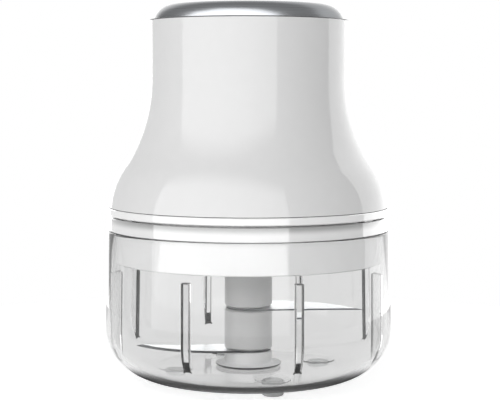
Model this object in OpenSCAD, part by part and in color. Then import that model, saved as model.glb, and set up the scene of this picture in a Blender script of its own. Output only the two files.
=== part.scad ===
// Cordless mini food processor: a press-top motor head on a lid, over a clear bowl with a two-blade hub.
// Millimetres, +Z up. The origin is on the table under the middle of the bowl, and the front faces -Y.

/* [Bowl] */
// Outer radius of the bowl at its widest
bowl_r = 48.8; // [46:0.2:54]
// Height of the bowl from its underside to its rim
bowl_h = 50.2; // [47:0.2:60]
// Thickness of the wall and of the floor
bowl_wall = 2; // [1.6:0.1:2.4]
// Outer radius of the curve between wall and floor
bowl_corner = 17.5; // [12:0.5:19]
// How far the wall leans in between that curve and the rim
bowl_lean = 0.5; // [0:0.1:1]
// Number of ribs on the inside of the wall
rib_count = 8; // [4:1:12]
// Width of a rib
rib_w = 3; // [2:0.2:4]
// Depth of a rib, from the wall inwards
rib_depth = 4; // [2.6:0.1:4.4]
// Gap between the top of a rib and the lid's skirt
rib_gap = 2.5; // [1:0.1:6]
// Turn of the first rib from the front towards the right
rib_turn = 20; // [0:1:45]
// Radius of the boss that holds the pivot pin
boss_r = 4.4; // [3.6:0.1:4.6]
// Height of that boss above the floor
boss_h = 4; // [3:0.1:5]

/* [Feet] */
// Number of rubber feet
foot_count = 4; // [3:1:6]
// Radius of a foot
foot_r = 3.75; // [3:0.25:5]
// Height of the feet under the bowl
foot_h = 2.2; // [1.5:0.1:4]
// Radius of the circle that the feet stand on
foot_circle_r = 26; // [18:0.5:28]
// Turn of the first foot from the front towards the right
foot_turn = 18; // [0:1:45]
// Radius of the stub that holds a foot in the floor
foot_stub_r = 2.4; // [1.5:0.1:2.8]
// Height of that stub
foot_stub_h = 1; // [0.6:0.1:1.2]
// Radius of the raised pad on the floor above each foot
foot_pad_r = 6.2; // [5.4:0.1:7]
// Height of that pad
foot_pad_h = 0.4; // [0.2:0.1:0.8]

/* [Lid] */
// Height of the lid's visible rim
lid_h = 4.6; // [3.8:0.2:8]
// Step from the bowl's rim in to the lid's rim
lid_step = 0.6; // [0.2:0.1:1]
// Thickness of the lid's plate
lid_plate_t = 2; // [1.6:0.1:2.4]
// Depth of the hollow in the lid's top, in which the head sits
lid_recess = 2.1; // [1.7:0.1:2.2]
// Length of the skirt that reaches down into the bowl
skirt_h = 11; // [8:0.5:14]
// Thickness of the skirt
skirt_t = 1.8; // [1.4:0.1:2.4]
// Length of the sleeve around the hub's neck
sleeve_h = 3.2; // [2:0.1:4]
// Width of the gasket under the lid's rim
gasket_w = 0.9; // [0.7:0.1:1]
// Height of the gasket
gasket_h = 1.4; // [1:0.1:1.6]

/* [Blade hub] */
// Radius of the hub's column
hub_r = 8.2; // [7.8:0.1:9.5]
// Radius of the flange at the hub's foot
flange_r = 11.3; // [10:0.1:13]
// Thickness of that flange
flange_t = 1; // [0.8:0.1:1.6]
// Wall of the neck at the corners of the drive socket
neck_wall = 1.7; // [1.4:0.1:1.9]
// Radius of the core that the blades are threaded on
core_r = 5.2; // [5:0.1:6]
// Height of the lower blade above the hub's underside
low_blade_h = 5.8; // [5:0.1:8]
// Height of the upper blade above the hub's underside
high_blade_h = 19.4; // [15:0.1:24]
// Chamfer on the column beside each blade
groove_chamfer = 0.4; // [0.2:0.1:0.6]
// Radius of the pivot pin
pin_r = 2; // [1.6:0.1:2.2]
// Length of the pin above its boss
pin_reach = 16.4; // [12:0.2:18]
// Wall of the pivot bush
bush_wall = 1.35; // [1.1:0.05:1.4]

/* [Blades] */
// Distance from the axis to a blade's tip
blade_reach = 39.5; // [34:0.5:41]
// Thickness of a blade
blade_t = 1.2; // [0.8:0.1:1.6]
// Width of the ground bevel along the cutting edge
grind_w = 2; // [1:0.1:3]
// Turn of the blades from the right-hand side
blade_turn = 7; // [0:1:30]

/* [Gears] */
// Gear module
gear_m = 0.6; // [0.58:0.01:0.66]
// Teeth on the motor's sun pinion
sun_teeth = 12; // [12:3:15]
// Teeth on a planet gear
planet_teeth = 15; // [15:3:18]
// Number of planets
planet_count = 3; // [3:1:3]
// Length of the planets' teeth
gear_h = 5; // [4:0.5:7]
// Thickness of the planet carrier
carrier_t = 2; // [1.6:0.1:2.6]
// Wall of the gear case outside its ring teeth
case_wall = 1.8; // [1.6:0.1:2.4]
// Thickness of the gear case's floor
case_floor = 2; // [1.6:0.1:2.6]
// Radius of the output shaft
output_r = 2.5; // [2.2:0.1:2.6]
// Radius over the corners of the six-sided drive coupling
coupling_r = 4.85; // [4.6:0.05:5]
// Length of the drive coupling
coupling_h = 10; // [8:0.5:10.5]

/* [Motor] */
// Radius of the motor's can
motor_r = 12.2; // [11.5:0.1:13]
// Length of the motor's can
motor_len = 30.8; // [28:0.2:34]
// Wall of the can
can_wall = 1; // [0.8:0.1:1.2]
// Thickness of the magnets
magnet_t = 2.3; // [1.8:0.1:2.5]
// Radius of the motor's shaft
shaft_r = 1.15; // [1:0.05:1.25]

/* [Battery] */
// Radius of a battery cell
cell_r = 7; // [6.5:0.1:7.5]
// Length of a battery cell
cell_len = 50; // [48:0.5:56]
// Wall of the cups that hold the cells
cup_wall = 1.2; // [1:0.1:1.6]
// Floor under a cell
cup_floor = 1.3; // [1:0.1:2]
// Thickness of the plate that carries the motor
plate_t = 2; // [1.6:0.1:2.6]

/* [Housing] */
// Thickness of the housing's wall
bell_wall = 2.2; // [1.8:0.1:2.4]
// Thickness of the lip around the button
lip_t = 1; // [0.8:0.1:1.2]
// Step from the lid's rim out to the base ring
collar_step = 0.3; // [0:0.1:0.8]
// Step from the base ring in to the housing's foot
bell_step = 0.35; // [0.2:0.05:0.6]
// Radius of the hollow curve under the neck
waist_r = 48.6; // [40:0.2:56]
// Radius of the full curve above the base ring
flare_r = 31.2; // [26:0.2:34]
// Thickness of the base cover
base_t = 2.5; // [2.2:0.1:3]
// Radius of the circle of screws that hold the base cover
base_screw_circle_r = 38; // [36:0.5:39]
// Depth of the well above the switch deck
well_h = 10.8; // [10:0.2:14]
// Thickness of the switch deck
deck_t = 1.5; // [1.2:0.1:2]

/* [Button] */
// Travel of the button
button_travel = 2; // [1.5:0.1:2.5]
// Radius of the button's rounded edge
button_corner = 5; // [3:0.25:6]
// Rise of the button's crown in the middle
button_crown = 1.25; // [0.5:0.05:2]
// Thickness of the button's metal skin
skin_t = 0.8; // [0.6:0.1:1]
// Radius of the return spring's wire
wire_r = 0.45; // [0.35:0.05:0.5]
// Mean radius of the return spring
coil_r = 5; // [4.4:0.1:5.4]
// Turns of the return spring
coil_turns = 4; // [3:1:5]

/* [Charging port] */
// Width of the charging socket
port_w = 9; // [8.6:0.1:9.6]
// Height of the charging socket
port_h = 3.2; // [3:0.1:3.6]
// Depth of the charging socket
port_depth = 7.4; // [6:0.2:9]
// Border of the plug around its port
plug_border = 2; // [1.6:0.1:2.4]
// Thickness of the plug's outer flap
flap_t = 1; // [0.8:0.1:1.2]
// Thickness of the circuit board
board_t = 1.6; // [1.2:0.2:2]
// Width of the circuit board
board_w = 24; // [22:1:28]
// Depth of the circuit board
board_d = 14; // [13:0.5:15]

/* [Fits] */
// Gap between pieces that lift off one another
seat_gap = 0.3; // [0.2:0.05:0.4]
// Open seam between the lid and the motor head
seam_gap = 0.4; // [0.3:0.05:0.8]
// Gap between a moving piece and its neighbour
run_gap = 0.3; // [0.2:0.05:0.4]
// Radial clearance of a shaft in its bearing
shaft_fit = 0.05; // [0.03:0.01:0.08]
// Amount by which each gear tooth is thinned
tooth_fit = 0.09; // [0.07:0.01:0.12]

/* [Hidden] */
$fn = 96;

eps = 0.01;              // how far a cutter reaches past the face it cuts
arc_steps = 14;          // chords in each curve of an outline

// Heights from the table up
under_z = foot_h;
floor_z = under_z + bowl_wall;
rim_z = under_z + bowl_h;
lid_z = rim_z + seat_gap;
lid_top_z = lid_z + lid_h;
plate_z = lid_top_z - lid_recess - lid_plate_t;
skirt_z = lid_z - skirt_h;
sleeve_z = plate_z - sleeve_h;
base_z = lid_top_z + seam_gap;
base_top_z = base_z + base_t;

// Radii of the bowl, the lid and the collar above them
rim_r = bowl_r - bowl_lean;
skirt_r = rim_r - bowl_wall - seat_gap - 0.05;
lid_r = rim_r - lid_step;
collar_r = lid_r + collar_step;
lid_well_r = skirt_r - skirt_t;
spigot_r = lid_well_r - seat_gap;
spigot_t = 1.5;
spigot_h = lid_recess - 0.5;
key_count = 3;
key_w = 6;
key_depth = 1.2;
gasket_inset = 0.25;
pad_step = 0.5;          // slope at the edge of a pad on the bowl's floor

// Pivot and hub
boss_top_z = floor_z + boss_h;
pin_foot_z = under_z + bowl_wall / 2;
pin_top_z = boss_top_z + pin_reach;
bush_z = boss_top_z + run_gap;
bush_bore_r = pin_r + shaft_fit;
bush_r = bush_bore_r + bush_wall;
bush_cap = 1.2;
bush_top_z = pin_top_z + run_gap + bush_cap;
hub_z = floor_z + run_gap;
hub_recess_r = boss_r + 0.5;
socket_r = coupling_r + 0.35;
neck_r = socket_r + neck_wall;
shoulder_z = sleeve_z - 1;
neck_top_z = base_z - 1.5;
sleeve_bore_r = neck_r + 0.4;
sleeve_wall = 1.7;
low_blade_z = hub_z + low_blade_h;
high_blade_z = hub_z + high_blade_h;
blade_ring_r = hub_r - groove_chamfer;

// Gears: the teeth are 25 degree stub teeth, and the ring's teeth hold the planets in the case
pressure = 25;
addendum = 0.8 * gear_m;
dedendum = gear_m;
ring_teeth = sun_teeth + 2 * planet_teeth;
sun_pitch_r = gear_m * sun_teeth / 2;
planet_pitch_r = gear_m * planet_teeth / 2;
ring_pitch_r = gear_m * ring_teeth / 2;
planet_circle_r = sun_pitch_r + planet_pitch_r;
case_r = ring_pitch_r + dedendum + case_wall;
planet_pin_r = 1.5;
carrier_r = ring_pitch_r - addendum - run_gap;
case_floor_z = base_top_z + case_floor;
carrier_z = case_floor_z + run_gap + 0.1;
gear_z = carrier_z + carrier_t + run_gap;
case_top_z = gear_z + gear_h + run_gap + 0.2;
output_bush_r = output_r + shaft_fit + 1.95;
seal_r = 6.5;
coupling_z = base_z - 0.2 - coupling_h;

// Motor and the plate that carries it
motor_z = case_top_z + plate_t;
motor_top_z = motor_z + motor_len;
motor_boss_r = sun_pitch_r + addendum + 0.1;
motor_bush_r = shaft_r + shaft_fit + 1.4;
motor_boss_h = 0.8;
endcap_t = 2.8;
commutator_r = 3;
stack_r = motor_r - can_wall - magnet_t - 0.4;

// Battery cells either side of the gear case, and the neck of the housing around them
cup_gap = 0.2;
cup_r = cell_r + cup_gap + cup_wall;
cell_x = max(case_r + 0.4 + cup_r, motor_r + 2 + cell_r);
cell_z = base_top_z + cup_floor;
cell_top_z = cell_z + cell_len;
strap_t = 0.3;
bell_neck_in_r = cell_x + cell_r + 0.45;
bell_neck_r = bell_neck_in_r + bell_wall;
bell_foot_r = collar_r - bell_step;

// The switch hangs under its deck, over the motor
switch_w = 12.8;
switch_d = 5.8;
switch_h = 6.5;
deck_z = max(cell_top_z + strap_t + 0.5, motor_top_z + motor_boss_h + 1.8 + switch_h);
deck_top_z = deck_z + deck_t;
top_z = deck_z + well_h;
well_r = bell_neck_r - lip_t;
deck_r = well_r - 0.25;
deck_screw_y = bell_neck_in_r - 3.75;

// Button
button_r = well_r - run_gap;
button_foot_z = deck_top_z + button_travel + 1.8;
button_edge_z = top_z + 0.1;
button_plate_t = 1.6;
button_plate_z = button_edge_z - button_plate_t - 0.6;
post_count = 3;
post_r = 2;
post_circle_r = 17;
stem_r = 2.4;
plunger_r = 1.2;
plunger_ratio = 0.8;
plunger_top_z = deck_top_z;
stem_z = plunger_top_z + run_gap + (1 - plunger_ratio) * button_travel;

// The S-curve of the housing: a full curve above the base ring runs into a hollow one under the neck.
// inset moves the curve inwards, so that one rule gives both faces of the wall.
flare_cr = bell_foot_r - flare_r;
waist_cr = bell_neck_r + waist_r;
waist_z = base_z + sqrt(pow(waist_r + flare_r, 2) - pow(waist_cr - flare_cr, 2));
turn_a = atan2(waist_z - base_z, waist_cr - flare_cr);
turn_z = base_z + flare_r * sin(turn_a);
function bell_out_r(z) = z < turn_z
    ? flare_cr + sqrt(pow(flare_r, 2) - pow(z - base_z, 2))
    : waist_cr - sqrt(pow(waist_r, 2) - pow(waist_z - min(z, waist_z), 2));
function bell_curve(inset, z) = let (r = flare_r - inset, a = asin((z - base_z) / r)) concat(
    [for (i = [0:arc_steps]) let (t = a + (turn_a - a) * i / arc_steps)
        [flare_cr + r * cos(t), base_z + r * sin(t)]],
    [for (i = [1:arc_steps]) let (t = turn_a * (1 - i / arc_steps))
        [waist_cr - (waist_r + inset) * cos(t), waist_z - (waist_r + inset) * sin(t)]]);

// Charging port at the back
board_lift = 2;
board_z = base_top_z + board_lift;
port_z = board_z + board_t + port_h / 2;
port_gap = 0.4;
port_y = bell_out_r(port_z + port_h / 2) - bell_wall + 0.4;
board_y = port_y - 2;
board_screw_x = 8;
board_screw_y = board_y - board_d + 3;

// Screws: [head radius, head height, shank radius, length under the head]
base_screw = [2.6, 1.4, 1.3, 9];
chassis_screw = [2.4, 1.3, 1.2, plate_t + case_top_z - base_top_z - 0.6];
motor_screw = [2, 1.2, 1, plate_t + 0.8];
board_screw = [1.9, 1, 0.9, board_t + board_lift + 1.6];
deck_screw = [2.1, 1.1, 1, deck_t + 5];
button_screw = [2.9, 1.2, 0.9, 5];
screw_boss_wall = 1.4;
base_screw_angles = [30, 150, 270];
chassis_boss_r = chassis_screw[2] + screw_boss_wall;
chassis_screw_y = case_r + chassis_boss_r + 0.1;
lug_z = base_top_z + (case_top_z - base_top_z) * 0.45;
motor_screw_y = 8;

function arc(cx, cz, r, a0, a1, n = arc_steps) =
    [for (i = [0:n]) let (a = a0 + (a1 - a0) * i / n) [cx + r * cos(a), cz + r * sin(a)]];

// Places its children in a ring, n times
module around(n, r = 0, turn = 0) {
    for (i = [0:n - 1]) rotate(turn + 360 * i / n) translate([r, 0, 0]) children();
}

// A tube that stands at z
module tube(outer, inner, h, z = 0) {
    translate([0, 0, z]) difference() {
        cylinder(r = outer, h = h);
        translate([0, 0, -eps]) cylinder(r = inner, h = h + 2 * eps);
    }
}

// A round bar or hole that stands at z
module bar(r, h, z = 0) { translate([0, 0, z]) cylinder(r = r, h = h); }

// A screw whose head lies on z = 0 and whose shank points down
module screw(s) {
    difference() {
        cylinder(r = s[0], h = s[1]);
        translate([-s[0] * 0.6, -0.3, s[1] - 0.5]) cube([s[0] * 1.2, 0.6, 0.5 + eps]);
        translate([-0.3, -s[0] * 0.6, s[1] - 0.5]) cube([0.6, s[0] * 1.2, 0.5 + eps]);
    }
    bar(s[2], s[3] + eps, -s[3]);
}

// Bowl ------------------------------------------------------------------------------------------------

// Outline of the bowl's outside, or of its inside when inset by the wall
function bowl_outline(inset, top) = concat(
    [[0, under_z + inset]],
    arc(bowl_r - bowl_corner, under_z + bowl_corner, bowl_corner - inset, -90, 0),
    [[rim_r - inset, top], [0, top]]);

module bowl() {
    inner_r = bowl_r - bowl_wall;
    color([0.9, 0.93, 0.95, 0.45]) difference() {
        union() {
            difference() {
                rotate_extrude() polygon(bowl_outline(0, rim_z));
                rotate_extrude() polygon(bowl_outline(bowl_wall, rim_z + eps));
            }
            intersection() {
                rotate_extrude() polygon(bowl_outline(bowl_wall / 2, rim_z));
                around(rib_count, inner_r - rib_depth, rib_turn - 90)
                    translate([0, -rib_w / 2, under_z])
                        cube([rib_depth + bowl_wall, rib_w, skirt_z - rib_gap - under_z]);
            }
            around(foot_count, foot_circle_r, foot_turn - 90)
                translate([0, 0, floor_z - pad_step])
                    cylinder(r1 = foot_pad_r, r2 = foot_pad_r - pad_step, h = foot_pad_h + pad_step);
            bar(boss_r, boss_h + bowl_wall / 2, pin_foot_z);
        }
        bar(pin_r, boss_h + bowl_wall, pin_foot_z);
        around(foot_count, foot_circle_r, foot_turn - 90) bar(foot_stub_r, foot_stub_h + eps, under_z - eps);
    }
}

module bowl_feet() {
    edge = foot_h * 0.3;
    color([0.88, 0.88, 0.88]) around(foot_count, foot_circle_r, foot_turn - 90) {
        cylinder(r1 = foot_r - edge, r2 = foot_r, h = edge);
        bar(foot_r, under_z - edge + eps, edge - eps);
        bar(foot_stub_r, foot_stub_h + eps, under_z - eps);
    }
}

module pivot_pin() {
    tip = pin_r * 0.3;
    color("silver") {
        bar(pin_r, pin_top_z - pin_foot_z - tip + eps, pin_foot_z);
        translate([0, 0, pin_top_z - tip]) cylinder(r1 = pin_r, r2 = pin_r - tip, h = tip);
    }
}

// Blades ----------------------------------------------------------------------------------------------

module pivot_bush() {
    color([0.93, 0.93, 0.9]) difference() {
        bar(bush_r, bush_top_z - bush_z, bush_z);
        bar(bush_bore_r, pin_top_z + run_gap - bush_z + eps, bush_z - eps);
    }
}

// Outline of the hub: a flange, a column and a narrower neck
module hub_outline() {
    slope = flange_t * 0.6;
    polygon([[0, hub_z], [flange_r - slope, hub_z], [flange_r, hub_z + slope],
             [flange_r, hub_z + flange_t], [hub_r + 0.8, hub_z + flange_t + 0.1],
             [hub_r, hub_z + flange_t + 0.9], [hub_r, shoulder_z - 1], [hub_r - 1, shoulder_z],
             [neck_r, shoulder_z], [neck_r, neck_top_z - 0.5], [neck_r - 0.5, neck_top_z],
             [0, neck_top_z]]);
}

// Slot for a blade's ring, with the column's edges chamfered beside it
module hub_groove(z) {
    c = groove_chamfer;
    rotate_extrude() polygon([[core_r, z], [blade_ring_r, z], [hub_r + eps, z - c - eps],
                              [hub_r + eps, z + blade_t + c + eps], [blade_ring_r, z + blade_t],
                              [core_r, z + blade_t]]);
}

module blade_hub() {
    color([0.74, 0.74, 0.74]) difference() {
        rotate_extrude() hub_outline();
        hub_groove(low_blade_z);
        hub_groove(high_blade_z);
        bar(hub_recess_r, bush_z - hub_z + eps, hub_z - eps);
        bar(bush_r + shaft_fit, bush_top_z + run_gap - bush_z, bush_z);
        translate([0, 0, coupling_z - run_gap])
            cylinder(r = socket_r, h = neck_top_z - coupling_z + run_gap + eps, $fn = 6);
    }
}

// One blade that points towards -X: a ring on the hub's core with a curved cutting edge and a straight back
module blade(z) {
    root = hub_r;
    tip_x = sqrt(pow(blade_reach, 2) - pow(root, 2));
    edge_r = (pow(tip_x - root, 2) + pow(2 * root, 2)) / (4 * root);
    translate([0, 0, z]) difference() {
        union() {
            cylinder(r = blade_ring_r, h = blade_t);
            intersection() {
                translate([-root, edge_r - root, 0])
                    cylinder(r1 = edge_r, r2 = edge_r - grind_w, h = blade_t);
                translate([-blade_reach, -2 * root, 0]) cube([blade_reach, 3 * root, blade_t]);
                cylinder(r = blade_reach - 0.3, h = blade_t);
            }
        }
        bar(core_r, blade_t + 2 * eps, -eps);
    }
}

module lower_blade() { color("gainsboro") rotate(blade_turn) blade(low_blade_z); }

module upper_blade() { color("gainsboro") rotate(blade_turn + 180) blade(high_blade_z); }

// Lid -------------------------------------------------------------------------------------------------

module lid() {
    groove_r = skirt_r + gasket_inset;
    color("white") difference() {
        union() {
            difference() {
                rotate_extrude() polygon([[lid_well_r, skirt_z], [skirt_r - 0.4, skirt_z],
                    [skirt_r, skirt_z + 0.4], [skirt_r, lid_z], [lid_r, lid_z],
                    [lid_r, lid_top_z - 0.3], [lid_r - 0.3, lid_top_z], [lid_well_r, lid_top_z]]);
                around(key_count, 0, 90) translate([0, -key_w / 2, lid_top_z - spigot_h - seat_gap])
                    cube([lid_well_r + key_depth, key_w, spigot_h + seat_gap + eps]);
            }
            bar(lid_well_r + eps, lid_plate_t, plate_z);
            bar(sleeve_bore_r + sleeve_wall, sleeve_h + eps, sleeve_z);
        }
        bar(sleeve_bore_r, plate_z + lid_plate_t - sleeve_z + 2 * eps, sleeve_z - eps);
        tube(groove_r + gasket_w, groove_r, gasket_h + eps, lid_z - eps);
    }
}

module lid_gasket() {
    color([0.82, 0.82, 0.82])
        tube(skirt_r + gasket_inset + gasket_w, skirt_r + gasket_inset, gasket_h, lid_z);
}

// Motor head: shells ----------------------------------------------------------------------------------

module base_cover() {
    rib_r = bell_foot_r - bell_wall - 0.5;
    color("white") difference() {
        union() {
            rotate_extrude() polygon([[0, base_z], [collar_r - 0.3, base_z], [collar_r, base_z + 0.3],
                [collar_r, base_top_z - 0.25], [collar_r - 0.25, base_top_z], [0, base_top_z]]);
            tube(rib_r, rib_r - spigot_t, spigot_h + eps, base_top_z - eps);
            tube(spigot_r, spigot_r - spigot_t, spigot_h + eps, base_z - spigot_h);
            around(key_count, 0, 90)
                translate([spigot_r - spigot_t, 0.3 - key_w / 2, base_z - spigot_h + 0.3])
                    cube([spigot_t + key_depth, key_w - 0.6, spigot_h - 0.3 + eps]);
            for (s = [-1, 1]) {
                translate([0, s * chassis_screw_y, 0])
                    bar(chassis_boss_r, lug_z - base_top_z + eps, base_top_z - eps);
                translate([s * board_screw_x, board_screw_y, 0])
                    bar(board_screw[2] + screw_boss_wall, board_lift + eps, base_top_z - eps);
            }
        }
        bar(seal_r, base_t + 2 * eps, base_z - eps);
        for (a = base_screw_angles) rotate(a) translate([base_screw_circle_r, 0, 0]) {
            bar(base_screw[2], base_t + 2, base_z - 1);
            bar(base_screw[0] + 0.3, base_screw[1] + 0.1 + eps, base_z - eps);
        }
        for (s = [-1, 1]) {
            translate([0, s * chassis_screw_y, motor_z]) bar(chassis_screw[2], 30, -chassis_screw[3]);
            translate([s * board_screw_x, board_screw_y, board_z + board_t])
                bar(board_screw[2], 30, -board_screw[3]);
        }
    }
}

// The plug's outline, drawn across the back of the housing
module port_shape(border, depth) {
    h = port_h / 2 + border;
    translate([0, depth, port_z]) rotate([90, 0, 0]) linear_extrude(depth) {
        square([port_w + 2 * border - 2 * h, 2 * h], center = true);
        for (s = [-1, 1]) translate([s * (port_w / 2 + border - h), 0]) circle(h);
    }
}

// Everything inside the housing's outer face, moved inwards by inset
module bell_core(inset) {
    rotate_extrude() polygon(concat([[0, base_top_z]], bell_curve(inset, base_top_z),
        [[bell_neck_r - inset, top_z], [0, top_z]]));
}

module motor_housing() {
    base_boss_r = base_screw[2] + screw_boss_wall;
    deck_boss_r = deck_screw[2] + screw_boss_wall;
    color("white") difference() {
        union() {
            difference() {
                bell_core(0);
                rotate_extrude() polygon(concat([[0, base_top_z - eps],
                    [bell_curve(bell_wall, base_top_z)[0][0], base_top_z - eps]],
                    bell_curve(bell_wall, base_top_z),
                    [[bell_neck_in_r, deck_z], [well_r, deck_z], [well_r, top_z + eps], [0, top_z + eps]]));
            }
            intersection() {
                bell_core(bell_wall / 2);
                union() {
                    for (a = base_screw_angles) rotate(a)
                        translate([base_screw_circle_r, 0, 0]) bar(base_boss_r, 22, base_top_z);
                    for (s = [0, 180]) rotate(s) translate([0, deck_screw_y, deck_z - 8]) {
                        bar(deck_boss_r, 8);
                        translate([-deck_boss_r, 0, 0]) cube([2 * deck_boss_r, bell_wall + 3, 8]);
                    }
                }
            }
        }
        for (a = base_screw_angles) rotate(a)
            translate([base_screw_circle_r, 0, 0]) bar(base_screw[2], base_screw[3] + 3, base_top_z - 1);
        for (s = [-1, 1]) translate([0, s * deck_screw_y, deck_z - 7]) bar(deck_screw[2], 8);
        port_shape(port_gap, collar_r);
        difference() {
            port_shape(plug_border + run_gap, collar_r);
            bell_core(flap_t + run_gap / 2);
        }
    }
}

// Motor head: gearbox ---------------------------------------------------------------------------------

// Involute function, in degrees
function inv(a) = tan(a) * 180 / PI - a;

// Points of one gear outline. fit thins each tooth at the pitch circle, and a negative fit widens it.
function gear_points(teeth, tip_r, root_r, fit, turn) =
    let (pitch_r = gear_m * teeth / 2, base_r = pitch_r * cos(pressure), low_r = max(base_r, root_r),
         half = 90 / teeth - fit / pitch_r * 90 / PI, n = 5)
    [for (k = [0:teeth - 1]) let (mid = turn + 360 * k / teeth, foot = half + inv(pressure)
                                      - inv(acos(base_r / low_r))) each concat(
        root_r < base_r ? [root_r * [cos(mid - foot), sin(mid - foot)]] : [],
        [for (i = [0:n]) let (r = low_r + (tip_r - low_r) * i / n,
                              a = half + inv(pressure) - inv(acos(base_r / r)))
            r * [cos(mid - a), sin(mid - a)]],
        [for (i = [n:-1:0]) let (r = low_r + (tip_r - low_r) * i / n,
                                 a = half + inv(pressure) - inv(acos(base_r / r)))
            r * [cos(mid + a), sin(mid + a)]],
        root_r < base_r ? [root_r * [cos(mid + foot), sin(mid + foot)]] : [])];

// The turn at which a planet at angle a meshes with the sun, and the ring's turn that fits planet 0
function planet_at(i) = 90 + 360 * i / planet_count;
function planet_turn(a) = a + 180 + sun_teeth / planet_teeth * a + 180 / planet_teeth;
ring_turn = planet_at(0) + planet_teeth / ring_teeth * (planet_turn(planet_at(0)) - planet_at(0))
    + 180 / ring_teeth;

module gear_case() {
    color([0.3, 0.3, 0.32]) difference() {
        union() {
            bar(case_r, case_top_z - base_top_z, base_top_z);
            for (s = [0, 180]) rotate(s) {
                translate([0, chassis_screw_y, 0]) bar(chassis_boss_r, case_top_z - lug_z, lug_z);
                translate([-chassis_boss_r, 0, lug_z])
                    cube([2 * chassis_boss_r, chassis_screw_y, case_top_z - lug_z]);
            }
        }
        bar(output_bush_r, case_floor + 2 * eps, base_top_z - eps);
        bar(carrier_r + 2 * run_gap, gear_z - case_floor_z, case_floor_z);
        translate([0, 0, gear_z - run_gap / 2]) linear_extrude(case_top_z)
            polygon(gear_points(ring_teeth, ring_pitch_r + dedendum, ring_pitch_r - addendum,
                -tooth_fit, ring_turn + 180 / ring_teeth));
        for (s = [-1, 1]) translate([0, s * chassis_screw_y, motor_z])
            bar(chassis_screw[2], chassis_screw[3] + 1, -chassis_screw[3]);
    }
}

module output_bush() {
    color([0.72, 0.53, 0.3]) tube(output_bush_r, output_r + shaft_fit, case_floor + 0.1, base_top_z);
}

module shaft_seal() {
    color([0.15, 0.15, 0.15]) tube(seal_r, output_r + run_gap, base_t - 0.2, base_z + 0.2);
}

module output_shaft() {
    color("silver") bar(output_r, carrier_z + carrier_t - coupling_z - 1.2, coupling_z + 1.2);
}

module planet_carrier() {
    color([0.55, 0.55, 0.58]) {
        tube(carrier_r, output_r, carrier_t, carrier_z);
        for (i = [0:planet_count - 1]) rotate(planet_at(i)) translate([planet_circle_r, 0, 0])
            bar(planet_pin_r, gear_z + gear_h + 0.2 - carrier_z, carrier_z);
    }
}

module drive_coupling() {
    color([0.2, 0.2, 0.2]) difference() {
        translate([0, 0, coupling_z]) cylinder(r = coupling_r, h = coupling_h, $fn = 6);
        bar(output_r, coupling_h, coupling_z + 1.2);
    }
}

module planet_gear(i) {
    a = planet_at(i);
    color([0.92, 0.92, 0.88]) rotate(a) translate([planet_circle_r, 0, gear_z]) rotate(-a) difference() {
        linear_extrude(gear_h) polygon(gear_points(planet_teeth, planet_pitch_r + addendum,
            planet_pitch_r - dedendum * 1.05, tooth_fit, planet_turn(a)));
        bar(planet_pin_r + shaft_fit, gear_h + 2 * eps, -eps);
    }
}

module sun_pinion() {
    color([0.8, 0.65, 0.3]) translate([0, 0, gear_z]) difference() {
        linear_extrude(gear_h + 0.2) polygon(gear_points(sun_teeth, sun_pitch_r + addendum,
            sun_pitch_r - dedendum * 1.05, tooth_fit, 0));
        bar(shaft_r, gear_h + 1, -eps);
    }
}

// Motor head: motor -----------------------------------------------------------------------------------

module motor_armature() {
    end_h = 3.4;
    stack_z = motor_z + can_wall + 3.6 + end_h;
    stack_top_z = motor_top_z - endcap_t - 5.4 - end_h;
    color([0.6, 0.35, 0.2]) {
        difference() {
            bar(stack_r, stack_top_z - stack_z, stack_z);
            around(3, stack_r, 60) translate([-2.6, -0.6, stack_z - eps])
                cube([3, 1.2, stack_top_z - stack_z + 2 * eps]);
        }
        bar(stack_r - 1.8, stack_top_z - stack_z + 2 * end_h, stack_z - end_h);
        bar(commutator_r, motor_top_z - endcap_t - 0.4 - stack_top_z, stack_top_z);
        bar(shaft_r, motor_top_z + motor_boss_h - gear_z, gear_z);
    }
}

module motor_can() {
    front_h = motor_boss_h + can_wall;
    color([0.75, 0.75, 0.77]) difference() {
        union() {
            bar(motor_r, motor_len, motor_z);
            bar(motor_boss_r, motor_boss_h + eps, motor_z - motor_boss_h);
        }
        bar(motor_r - can_wall, motor_len, motor_z + can_wall);
        bar(motor_bush_r, front_h + 2 * eps, motor_z - motor_boss_h - eps);
        for (s = [-1, 1]) translate([0, s * motor_screw_y, motor_z - eps]) bar(motor_screw[2], can_wall + 1);
    }
}

module motor_magnets() {
    h = motor_len * 0.6;
    color([0.25, 0.25, 0.27]) for (s = [0, 180]) rotate(s) intersection() {
        tube(motor_r - can_wall, motor_r - can_wall - magnet_t, h, motor_z + 6);
        translate([0, 0, motor_z + 6]) linear_extrude(h)
            polygon([[0, 0], [40 * cos(55), 40 * sin(55)], [60, 0], [40 * cos(55), -40 * sin(55)]]);
    }
}

module motor_brushes() {
    color([0.75, 0.5, 0.3]) for (s = [0, 180]) rotate(s)
        translate([commutator_r + run_gap, -1.5, motor_top_z - endcap_t - 3.6]) cube([0.6, 3, 3.6]);
}

module motor_bushes() {
    color([0.72, 0.53, 0.3]) {
        tube(motor_bush_r, shaft_r + shaft_fit, motor_boss_h + endcap_t, motor_z - motor_boss_h);
        tube(motor_bush_r, shaft_r + shaft_fit, motor_boss_h + endcap_t, motor_top_z - endcap_t);
    }
}

module motor_endcap() {
    color([0.2, 0.2, 0.22]) difference() {
        union() {
            bar(motor_r - can_wall, endcap_t, motor_top_z - endcap_t);
            bar(motor_bush_r + 1.6, motor_boss_h + eps, motor_top_z - eps);
        }
        bar(motor_bush_r, endcap_t + motor_boss_h + 2 * eps, motor_top_z - endcap_t - eps);
    }
}

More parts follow.
